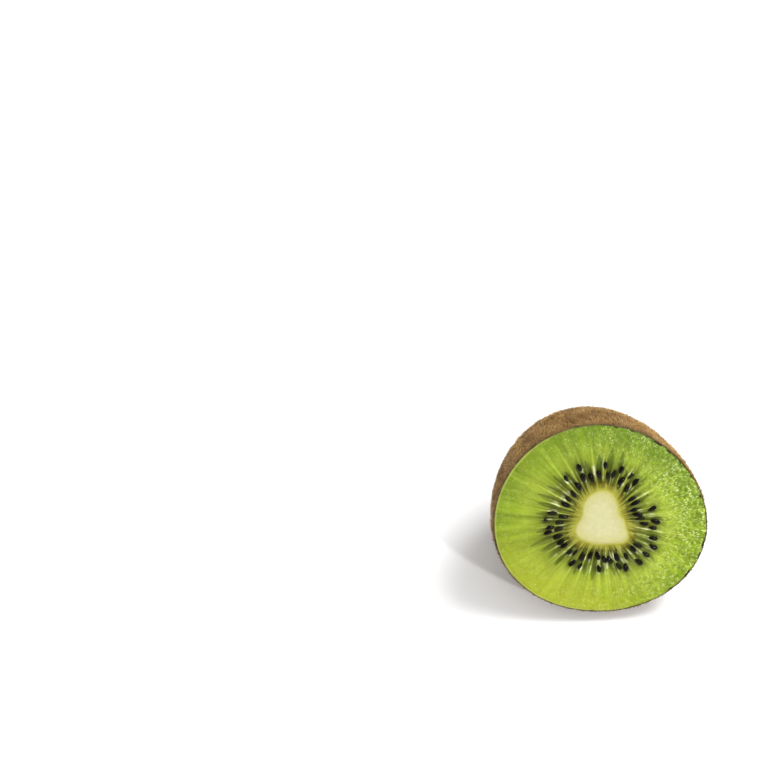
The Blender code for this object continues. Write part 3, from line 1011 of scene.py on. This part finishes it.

# %% [markdown]
# Kiwi skin is a dry leathery peel, brown and quite matt. It is mottled in patches about 5 mm wide and has
# dark pores 0.4 mm wide. At the cut its edge is olive, because it is wet with juice there, and patches 3 mm
# long of painted shade make it almost black in places. A second material for the edge would leave a hard
# border, so the cut_edge tag fades one into the other.

# %% Leathery skin
leather, tree, shader = new_material("dry_kiwi_peel")
where = add(tree, "ShaderNodeTexCoord").outputs["Object"]
patches = add(tree, "ShaderNodeTexNoise", {"Vector": where, "Scale": 190.0, "Detail": 4.0})
peel_tone = add(tree, "ShaderNodeValToRGB", {"Fac": patches.outputs["Fac"]},
                stops=[(0.3, "#5E4424"), (0.5, "#7A5B32"), (0.7, "#93723F")])
pores = add(tree, "ShaderNodeTexVoronoi", {"Vector": where, "Scale": 1300.0})
pore_dark = add(tree, "ShaderNodeMapRange", {0: pores.outputs["Distance"], 1: 0.1, 2: 0.4, 3: 0.6, 4: 1.0})
dry_peel = add(tree, "ShaderNodeVectorMath", {0: peel_tone.outputs[0], 3: pore_dark.outputs[0]},
               operation="SCALE")
wet_and_shaded_edge = add(tree, "ShaderNodeAttribute", attribute_name="cut_edge")
# At the cut edge: olive, with almost black patches of painted shade.
edge_shade_patches = add(tree, "ShaderNodeTexNoise", {"Vector": where, "Scale": 330.0, "Detail": 2.0})
edge_olive_and_shade = add(tree, "ShaderNodeValToRGB", {"Fac": edge_shade_patches.outputs["Fac"]},
                  stops=[(0.42, "#625527"), (0.56, "#1E180B")])
peel = add(tree, "ShaderNodeMix",
           {0: wet_and_shaded_edge.outputs["Fac"], 6: dry_peel.outputs[0], 7: edge_olive_and_shade.outputs[0]},
           data_type="RGBA")
peel_bump = add(tree, "ShaderNodeBump",
                {"Height": pores.outputs["Distance"], "Distance": 0.08 * MM, "Strength": 0.6})
connect(tree, shader, {"Base Color": peel.outputs[2], "Normal": peel_bump.outputs[0], "Roughness": 0.75})
skin.data.materials.append(leather)
print("Nodes in the peel:", len(tree.nodes))

# %% [markdown]
# The stalk scar is dry cork: darker and greyer than the peel, rough, and split into fibres under 1 mm wide.
# Noise alone would spread light and dark evenly, so the rise tag, its height over the skin, is added to the
# noise: a painted highlight where the cork stands up and painted shade where it lies low.

# %% Corky scar
cork, tree, shader = new_material("dry_stalk_cork")
where = add(tree, "ShaderNodeTexCoord").outputs["Object"]
fibre = add(tree, "ShaderNodeTexNoise", {"Vector": where, "Scale": 1500.0, "Detail": 5.0})
lifted = add(tree, "ShaderNodeAttribute", attribute_name="rise")
# Painted highlight on what stands up, painted shade on what lies low.
raised_light_low_shade = add(tree, "ShaderNodeMath", {0: lifted.outputs["Fac"], 1: 0.75, 2: -0.3}, operation="MULTIPLY_ADD")
fibres_and_painted_light = add(tree, "ShaderNodeMath", {0: fibre.outputs["Fac"], 1: raised_light_low_shade.outputs[0]}, operation="ADD")
cork_tone = add(tree, "ShaderNodeValToRGB", {"Fac": fibres_and_painted_light.outputs[0]},
                stops=[(0.2, "#22170B"), (0.5, "#5A4226"), (0.9, "#8F7048")])
cork_bump = add(tree, "ShaderNodeBump",
                {"Height": fibre.outputs["Fac"], "Distance": 0.15 * MM, "Strength": 0.8})
connect(tree, shader, {"Base Color": cork_tone.outputs[0], "Normal": cork_bump.outputs[0],
                       "Roughness": 0.85})
scar.data.materials.append(cork)
print("Nodes in the cork:", len(tree.nodes))

# %% [markdown]
# A bristle is dead, dry plant hair. It is matt and paler at its tip, and no two have quite the same brown.
# Blender's hair shader is made for curves, so the plain shader serves these mesh bristles. The tone tag
# picks the brown and the height along the bristle lightens it.

# %% Fuzz
bristle, tree, shader = new_material("dry_kiwi_bristle")
tone = add(tree, "ShaderNodeAttribute", attribute_name="tone")
rise = add(tree, "ShaderNodeAttribute", attribute_name="up_bristle")
browns = add(tree, "ShaderNodeValToRGB", {"Fac": tone.outputs["Fac"]},
             stops=[(0.08, "#6A4824"), (0.4, "#AA8346"), (0.7, "#CDA460"), (0.95, "#E8C787")])
lighten = add(tree, "ShaderNodeMapRange", {0: rise.outputs["Fac"], 3: 0.8, 4: 1.12})
# Paler toward the tip of each bristle.
paler_to_tip = add(tree, "ShaderNodeVectorMath", {0: browns.outputs[0], 3: lighten.outputs[0]},
             operation="SCALE")
connect(tree, shader, {"Base Color": paler_to_tip.outputs[0], "Roughness": 0.62, "IOR": 1.45})
for piece in (fine_fuzz, long_fuzz):
    piece.data.materials.append(bristle)
print("Nodes in the fuzz:", len(tree.nodes))

# %% [markdown]
# The fruit stands on a plain pale floor of matt painted board. A curved backdrop would hide the horizon, but
# it would get in the way of views from behind, so the floor is one flat grid, 12 m wide, that runs out of
# sight in the pictures taken from above.

# %% Floor
FLOOR_SIDE = 12.0
FLOOR_CELLS = 8

columns = FLOOR_CELLS + 1
marks = np.linspace(-FLOOR_SIDE / 2, FLOOR_SIDE / 2, columns)
floor_points = [(x, y, 0.0) for y in marks for x in marks]
floor_faces = [(first, first + 1, first + columns + 1, first + columns)
               for row in range(FLOOR_CELLS) for first in range(row * columns, row * columns + FLOOR_CELLS)]
floor = mesh_piece("floor", floor_points, floor_faces)
board, tree, shader = new_material("matt_painted_board")
where = add(tree, "ShaderNodeTexCoord").outputs["Object"]
paint = add(tree, "ShaderNodeTexNoise", {"Vector": where, "Scale": 30.0, "Detail": 2.0})
paint_tone = add(tree, "ShaderNodeValToRGB", {"Fac": paint.outputs["Fac"]},
                 stops=[(0.3, "#F4F4F3"), (0.7, "#F8F8F8")])
connect(tree, shader, {"Base Color": paint_tone.outputs[0], "Roughness": 0.9, "Specular IOR Level": 0.2})
floor.data.materials.append(board)

# %% [markdown]
# Light: a white surround does most of the work, as in a tent of white cloth that is dimmer near the table.
# Many lamps could do the same, but a surround has no edges that a shiny seed would mirror. The Standard view
# keeps the white floor white, where Blender's usual view would grey it.

# %% White surround
world = bpy.data.worlds.new("white_surround")
bpy.context.scene.world = world
world.use_nodes = True
tree = world.node_tree
direction = add(tree, "ShaderNodeTexCoord")
height = add(tree, "ShaderNodeSeparateXYZ", {0: direction.outputs["Generated"]})
tent = add(tree, "ShaderNodeValToRGB", {"Fac": height.outputs["Z"]},
           stops=[(0.0, 0.5), (0.25, 0.72), (0.6, 1.0)])
connect(tree, tree.nodes["Background"], {"Color": tent.outputs[0], "Strength": 0.73})
bpy.context.scene.view_settings.view_transform = "Standard"
print("Strength of the surround:", round(tree.nodes["Background"].inputs["Strength"].default_value, 2))

# %% [markdown]
# Two lamps shape the fruit. One large soft lamp high at the back right draws the shadow to the left, and a
# small one in front picks out wet glints. Point lamps would light the whole room. Square area lamps look at
# the fruit as studio lamps do, and their size sets how soft the shadow is.

# %% Soft lamps
fruit_middle = Vector((0.0, 0.0, 25.0 * MM))


def soft_lamp(name, place, size, watts):
    """A square area lamp that looks at the fruit."""
    lamp = bpy.data.lights.new(name, "AREA")
    lamp.shape = "SQUARE"
    lamp.size = size
    lamp.energy = watts
    holder = bpy.data.objects.new(name, lamp)
    holder.location = place
    holder.rotation_mode = "QUATERNION"
    holder.rotation_quaternion = (fruit_middle - Vector(place)).to_track_quat("-Z", "Y")
    bpy.context.scene.collection.objects.link(holder)
    print(f"{name}: {size} m wide, {round((fruit_middle - Vector(place)).length, 2)} m away, {watts} W")


soft_lamp("key_lamp", place=(0.45, 0.2, 0.9), size=0.5, watts=9.5)
soft_lamp("glint_lamp", place=(0.45, -0.65, 0.42), size=0.06, watts=3.6)

# %% [markdown]
# The camera stands where the photographer's did: 49 degrees above the floor and a little to the left. It
# could be placed by eye, but these numbers come from fitting the outline of the cut and of the skin behind
# it in the picture: the pixel where the middle of the cut lies, and how far away that is.

# %% Place the camera
IMAGE_SIDE = 779.0
FOCAL_PIXELS = 1500.0
FACE_PIXEL = (600.1, 522.5)
FACE_DISTANCE = 372.6 * MM
CAMERA_TURN = math.radians(-3.1)
CAMERA_RISE = math.radians(48.9)

back = Vector((math.sin(CAMERA_TURN) * math.cos(CAMERA_RISE),
               -math.cos(CAMERA_TURN) * math.cos(CAMERA_RISE), math.sin(CAMERA_RISE)))
right = (-back).cross(Vector((0.0, 0.0, 1.0))).normalized()
up = right.cross(-back)
aside, below = ((pixel - IMAGE_SIDE / 2) * FACE_DISTANCE / FOCAL_PIXELS for pixel in FACE_PIXEL)
lens = bpy.data.cameras.new("camera")
lens.sensor_width = 36.0
lens.lens = FOCAL_PIXELS / IMAGE_SIDE * lens.sensor_width
lens.clip_start = 0.01
camera = bpy.data.objects.new("camera", lens)
camera.location = Vector(cut_origin) + back * FACE_DISTANCE - right * aside + up * below
camera.rotation_mode = "QUATERNION"
camera.rotation_quaternion = Matrix((right, up, back)).transposed().to_quaternion()
bpy.context.scene.collection.objects.link(camera)
bpy.context.scene.camera = camera
print("Camera in mm:", [round(value / MM, 1) for value in camera.location])

# %% [markdown]
# Last, each piece is tied to the part's one body. The CAD solids stay hidden underneath for weight and
# collision.

# %% Tie the pieces to the frame
for piece in (core, flesh, skin, scar, seed_piece, fine_fuzz, long_fuzz):
    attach(piece, "root")
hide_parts("kiwi_core")
for piece in (flesh, skin, scar, seed_piece, fine_fuzz, long_fuzz):
    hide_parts("kiwi_flesh")
